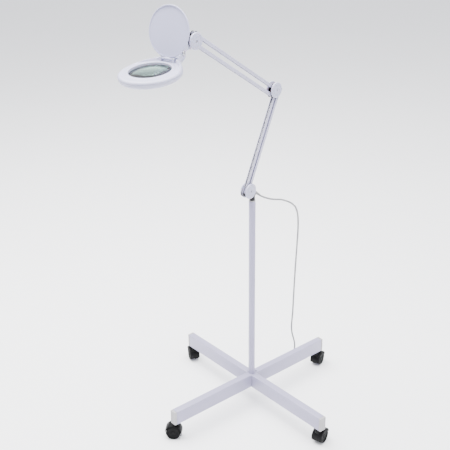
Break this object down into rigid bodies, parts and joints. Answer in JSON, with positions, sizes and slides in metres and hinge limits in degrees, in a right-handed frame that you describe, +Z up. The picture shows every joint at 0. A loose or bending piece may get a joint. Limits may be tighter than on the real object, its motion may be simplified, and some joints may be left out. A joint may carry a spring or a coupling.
{
  "type": "floor-standing magnifying lamp",
  "caption": "Magnifier lamp on a rolling cross base: pole, two sprung parallelogram arms and a round lens head with a hinged lid.",
  "frame": {"origin": "middle of the overall box at floor level, without the cord; the pole axis is 73.3 mm from it along -X and 12.7 mm along +Y", "axes": "+Z up along the pole, +X along the arm from the pole towards the lens head, +Y to the left of the arm"},
  "size_m": [0.8938, 0.7218, 1.4388],
  "materials": {
    "painted_steel": "satin lavender-white powder coat",
    "end_cap_plastic": "matt light grey moulding",
    "caster_plastic": "black nylon, satin",
    "tyre": "black nylon tread",
    "bright_steel": "zinc plated",
    "shell_plastic": "semi-gloss lavender-white ABS",
    "black_nylon": "black glass-filled nylon",
    "lens_glass": "polished, faint green",
    "led_board": "white board with lamps",
    "diffuser": "opal diffuser",
    "cord_pvc": "grey PVC sheath",
    "plug_pvc": "grey moulded plug with metal pins",
    "button_plastic": "grey push button"
  },
  "bodies": {
    "root": {"base_beam": "painted_steel", "base_leg_left": "painted_steel", "base_leg_right": "painted_steel", "end_cap_1": "end_cap_plastic", "end_cap_2": "end_cap_plastic", "end_cap_3": "end_cap_plastic", "end_cap_4": "end_cap_plastic", "caster_stem_1": "bright_steel", "caster_stem_2": "bright_steel", "caster_stem_3": "bright_steel", "caster_stem_4": "bright_steel", "pole": "painted_steel", "pole_bolt": "bright_steel", "pole_top_bush": "end_cap_plastic", "cord_drop": "cord_pvc", "cord_hank": "cord_pvc", "cord_tail": "cord_pvc", "mains_plug": "plug_pvc"},
    "swivel": {"swivel_bracket": "black_nylon", "bracket_cover_front": "shell_plastic", "bracket_cover_rear": "shell_plastic", "bracket_screw": "bright_steel", "strain_relief": "cord_pvc", "cord_upper": "cord_pvc"},
    "lower_arm": {"lower_bar_front": "painted_steel", "lower_spring": "bright_steel"},
    "lower_link": {"lower_bar_rear": "painted_steel"},
    "elbow": {"elbow_block": "black_nylon", "elbow_cover_front": "shell_plastic", "elbow_cover_rear": "shell_plastic", "elbow_screw": "bright_steel"},
    "upper_arm": {"upper_bar_top": "painted_steel"},
    "upper_link": {"upper_bar_bottom": "painted_steel", "upper_spring": "bright_steel"},
    "front_bracket": {"front_block": "black_nylon", "front_cover_front": "shell_plastic", "front_cover_rear": "shell_plastic", "front_screw": "bright_steel"},
    "yoke": {"head_yoke": "shell_plastic"},
    "head": {"head_upper_shell": "shell_plastic", "head_lower_shell": "shell_plastic", "magnifier_lens": "lens_glass", "led_ring": "led_board", "light_diffuser": "diffuser", "tilt_screw": "bright_steel", "lid_hinge_pin": "bright_steel"},
    "lid": {"lens_lid": "shell_plastic"},
    "button": {"power_button": "button_plastic"},
    "caster_1": {"caster_hood_1": "caster_plastic"},
    "wheel_1l": {"caster_wheel_1l": "tyre"},
    "wheel_1r": {"caster_wheel_1r": "tyre"},
    "caster_2": {"caster_hood_2": "caster_plastic"},
    "wheel_2l": {"caster_wheel_2l": "tyre"},
    "wheel_2r": {"caster_wheel_2r": "tyre"},
    "caster_3": {"caster_hood_3": "caster_plastic"},
    "wheel_3l": {"caster_wheel_3l": "tyre"},
    "wheel_3r": {"caster_wheel_3r": "tyre"},
    "caster_4": {"caster_hood_4": "caster_plastic"},
    "wheel_4l": {"caster_wheel_4l": "tyre"},
    "wheel_4r": {"caster_wheel_4r": "tyre"}
  },
  "joints": [
    {"name": "caster_1_swivel", "type": "hinge", "parent": "root", "child": "caster_1", "pos_m": [0.25348, -0.03322, 0.055], "axis": [0, 0, 1], "continuous": true},
    {"name": "wheel_1l_roll", "type": "hinge", "parent": "caster_1", "child": "wheel_1l", "pos_m": [0.26311, -0.046, 0.025], "axis": [0.7986, 0.6018, 0], "continuous": true},
    {"name": "wheel_1r_roll", "type": "hinge", "parent": "caster_1", "child": "wheel_1r", "pos_m": [0.26311, -0.046, 0.025], "axis": [0.7986, 0.6018, 0], "continuous": true},
    {"name": "caster_2_swivel", "type": "hinge", "parent": "root", "child": "caster_2", "pos_m": [-0.02738, 0.33949, 0.055], "axis": [0, 0, 1], "continuous": true},
    {"name": "wheel_2l_roll", "type": "hinge", "parent": "caster_2", "child": "wheel_2l", "pos_m": [-0.04326, 0.33755, 0.025], "axis": [0.1219, -0.9925, 0], "continuous": true},
    {"name": "wheel_2r_roll", "type": "hinge", "parent": "caster_2", "child": "wheel_2r", "pos_m": [-0.04326, 0.33755, 0.025], "axis": [0.1219, -0.9925, 0], "continuous": true},
    {"name": "caster_3_swivel", "type": "hinge", "parent": "root", "child": "caster_3", "pos_m": [-0.40009, 0.05863, 0.055], "axis": [0, 0, 1], "continuous": true},
    {"name": "wheel_3l_roll", "type": "hinge", "parent": "caster_3", "child": "wheel_3l", "pos_m": [-0.41574, 0.05531, 0.025], "axis": [0.2079, -0.9781, 0], "continuous": true},
    {"name": "wheel_3r_roll", "type": "hinge", "parent": "caster_3", "child": "wheel_3r", "pos_m": [-0.41574, 0.05531, 0.025], "axis": [0.2079, -0.9781, 0], "continuous": true},
    {"name": "caster_4_swivel", "type": "hinge", "parent": "root", "child": "caster_4", "pos_m": [-0.11923, -0.31408, 0.055], "axis": [0, 0, 1], "continuous": true},
    {"name": "wheel_4l_roll", "type": "hinge", "parent": "caster_4", "child": "wheel_4l", "pos_m": [-0.12795, -0.3275, 0.025], "axis": [0.8387, -0.5446, 0], "continuous": true},
    {"name": "wheel_4r_roll", "type": "hinge", "parent": "caster_4", "child": "wheel_4r", "pos_m": [-0.12795, -0.3275, 0.025], "axis": [0.8387, -0.5446, 0], "continuous": true},
    {"name": "pole_swivel", "type": "hinge", "parent": "root", "child": "swivel", "pos_m": [-0.07331, 0.01271, 0.785], "axis": [0, 0, 1], "range_deg": [-120, 120]},
    {"name": "lower_arm_lift", "type": "hinge", "parent": "swivel", "child": "lower_arm", "pos_m": [-0.03157, 0.01271, 0.8064], "axis": [0, 1, 0], "range_deg": [-13.5, 66.5]},
    {"name": "lower_link_lift", "type": "hinge", "parent": "swivel", "child": "lower_link", "pos_m": [-0.05504, 0.01271, 0.8176], "axis": [0, 1, 0], "range_deg": [-14, 67]},
    {"name": "elbow_level", "type": "hinge", "parent": "lower_arm", "child": "elbow", "pos_m": [-0.17882, 0.01271, 1.10173], "axis": [0, 1, 0], "range_deg": [-67, 14]},
    {"name": "upper_arm_lift", "type": "hinge", "parent": "elbow", "child": "upper_arm", "pos_m": [-0.16756, 0.01271, 1.1268], "axis": [0, 1, 0], "range_deg": [-37.4, 72.6]},
    {"name": "upper_link_lift", "type": "hinge", "parent": "elbow", "child": "upper_link", "pos_m": [-0.16305, 0.01271, 1.1012], "axis": [0, 1, 0], "range_deg": [-38, 73]},
    {"name": "front_level", "type": "hinge", "parent": "upper_arm", "child": "front_bracket", "pos_m": [0.17784, 0.01271, 1.3477], "axis": [0, 1, 0], "range_deg": [-73, 38]},
    {"name": "head_swivel", "type": "hinge", "parent": "front_bracket", "child": "yoke", "pos_m": [0.21069, 0.01271, 1.32], "axis": [0, 0, 1], "range_deg": [-75, 75]},
    {"name": "head_tilt", "type": "hinge", "parent": "yoke", "child": "head", "pos_m": [0.23958, 0.01524, 1.30615], "axis": [-0.0872, 0.9962, 0], "range_deg": [-15, 50]},
    {"name": "lid_open", "type": "hinge", "parent": "head", "child": "lid", "pos_m": [0.2896, 0.01961, 1.29913], "axis": [-0.0872, 0.9962, 0], "range_deg": [0, 107.5]},
    {"name": "button_press", "type": "slide", "parent": "head", "child": "button", "axis": [0.13, 0.0114, 0.9914], "range_m": [0, 0.0015], "stiffness_N_per_m": 800, "springref_m": -0.0005}
  ],
  "couplings": [
    {"joint": "lower_link_lift", "follows": "lower_arm_lift", "ratio": 1},
    {"joint": "elbow_level", "follows": "lower_arm_lift", "ratio": -1},
    {"joint": "upper_link_lift", "follows": "upper_arm_lift", "ratio": 1},
    {"joint": "front_level", "follows": "upper_arm_lift", "ratio": -1}
  ]
}
